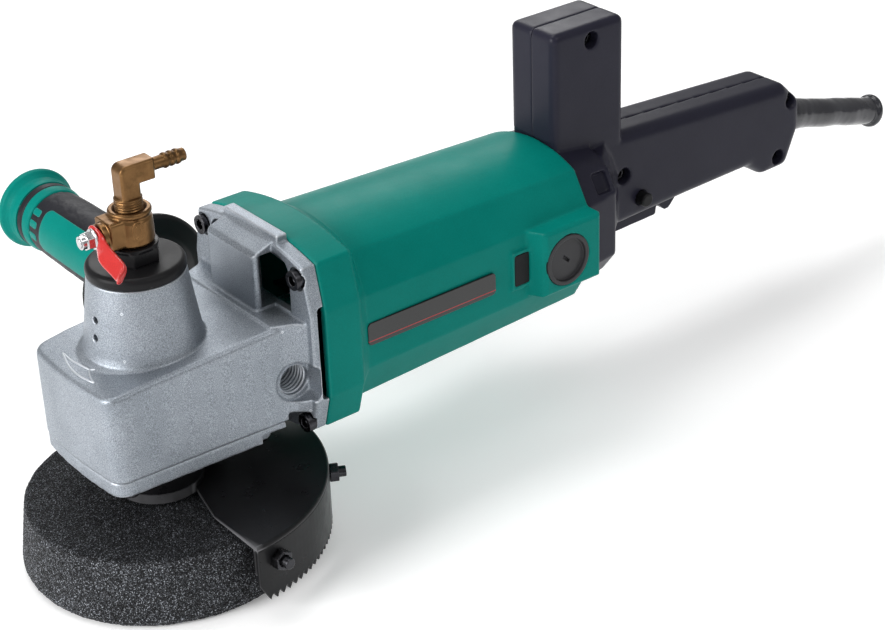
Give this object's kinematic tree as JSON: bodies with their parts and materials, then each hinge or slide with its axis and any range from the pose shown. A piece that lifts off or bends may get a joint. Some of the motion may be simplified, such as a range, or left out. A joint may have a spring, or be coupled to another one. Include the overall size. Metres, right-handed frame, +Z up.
{
  "type": "wet stone grinder",
  "caption": "Hand-held electric wet stone grinder with right-angle gear head, abrasive cup stone, toothed half guard, brass water valve, side handle and straight rear grip.",
  "frame": {"origin": "on the spindle axis in the plane of the stone's working face", "axes": "+X along the armature axis towards the rear grip, +Z up the spindle towards the water valve, the side handle points along +Y"},
  "size_m": [0.5191, 0.2735, 0.183],
  "materials": {
    "cast_alloy": "fine sand-cast, satin",
    "green_plastic": "satin moulded",
    "charcoal_plastic": "satin moulded",
    "black_plastic": "gloss moulded",
    "handle_rubber": "matte",
    "boot_rubber": "glossy flexible",
    "seal_rubber": "matte",
    "black_steel": "satin black enamel",
    "bright_steel": "machined",
    "black_screw": "black oxide",
    "plated_steel": "bright plated",
    "brass": "tarnished",
    "lever_vinyl": "glossy dip coat",
    "abrasive": "coarse bonded grit",
    "insert_iron": "rough",
    "laminations": "stacked sheet",
    "copper": "enamelled wire",
    "carbon": "pressed carbon",
    "label_film": "blank glossy strip",
    "brush_cap_plastic": "moulded"
  },
  "bodies": {
    "housing": {"bearing_cover": "cast_alloy", "bearing_retainer": "bright_steel", "brush_caps": "brush_cap_plastic", "brush_holders": "brass", "brush_springs": "bright_steel", "carbon_brushes": "carbon", "cord_boot": "boot_rubber", "cord_clamp": "black_plastic", "fan_baffle": "black_plastic", "field_coils": "copper", "gear_housing": "cast_alloy", "handle_collar": "black_plastic", "handle_core": "green_plastic", "handle_grip": "handle_rubber", "handle_stud": "bright_steel", "head_screws": "black_screw", "hex_adapter": "black_steel", "hose_elbow": "brass", "label_plates": "label_film", "lower_spindle_bearing": "bright_steel", "motor_housing": "green_plastic", "pinion_bearing": "bright_steel", "rear_bearing": "bright_steel", "rear_shell_left": "charcoal_plastic", "rear_shell_right": "charcoal_plastic", "shell_screws": "black_screw", "soft_start_module": "black_plastic", "stator_core": "laminations", "switch_body": "black_plastic", "terminal_covers": "black_plastic", "trigger_pin": "bright_steel", "trigger_spring": "bright_steel", "upper_spindle_bearing": "bright_steel", "valve_body": "brass", "water_cap": "black_plastic", "water_seal": "seal_rubber"},
    "spindle": {"spindle": "bright_steel", "bevel_gear": "bright_steel", "flange_nut": "bright_steel", "stone_insert": "insert_iron", "cup_stone": "abrasive"},
    "armature": {"armature_shaft": "bright_steel", "pinion": "bright_steel", "armature_core": "laminations", "armature_windings": "copper", "commutator": "copper", "fan": "black_plastic"},
    "guard": {"guard_plate": "black_steel", "guard_band": "black_steel", "guard_skirt": "black_steel", "guard_bolts": "black_screw", "guard_nuts": "black_screw", "guard_clamp": "black_steel", "clamp_screw": "black_screw"},
    "valve": {"valve_ball": "plated_steel", "valve_stem": "plated_steel", "valve_lever": "lever_vinyl", "lever_nut": "plated_steel"},
    "trigger": {"trigger": "charcoal_plastic"},
    "lock_button": {"lock_button": "black_plastic"}
  },
  "joints": [
    {"name": "spindle_spin", "type": "hinge", "parent": "housing", "child": "spindle", "pos_m": [0, 0, 0], "axis": [0, 0, 1], "continuous": true},
    {"name": "armature_spin", "type": "hinge", "parent": "housing", "child": "armature", "pos_m": [0, 0, 0.09], "axis": [1, 0, 0], "continuous": true},
    {"name": "guard_turn", "type": "hinge", "parent": "housing", "child": "guard", "pos_m": [0, 0, 0], "axis": [0, 0, 1], "range_deg": [-60, 60]},
    {"name": "valve_turn", "type": "hinge", "parent": "housing", "child": "valve", "pos_m": [0, 0, 0.155], "axis": [-1, 0, 0], "range_deg": [0, 90]},
    {"name": "trigger_pull", "type": "hinge", "parent": "housing", "child": "trigger", "pos_m": [0.262, 0, 0.0805], "axis": [0, -1, 0], "range_deg": [0, 7], "stiffness_Nm_per_rad": 1.2, "springref_deg": -6.88, "deforming": ["trigger_spring"]},
    {"name": "lock_press", "type": "slide", "parent": "housing", "child": "lock_button", "axis": [0, 1, 0], "range_m": [0, 0.003], "stiffness_N_per_m": 400, "springref_m": -0.002}
  ],
  "couplings": [
    {"joint": "armature_spin", "follows": "spindle_spin", "ratio": 3}
  ]
}
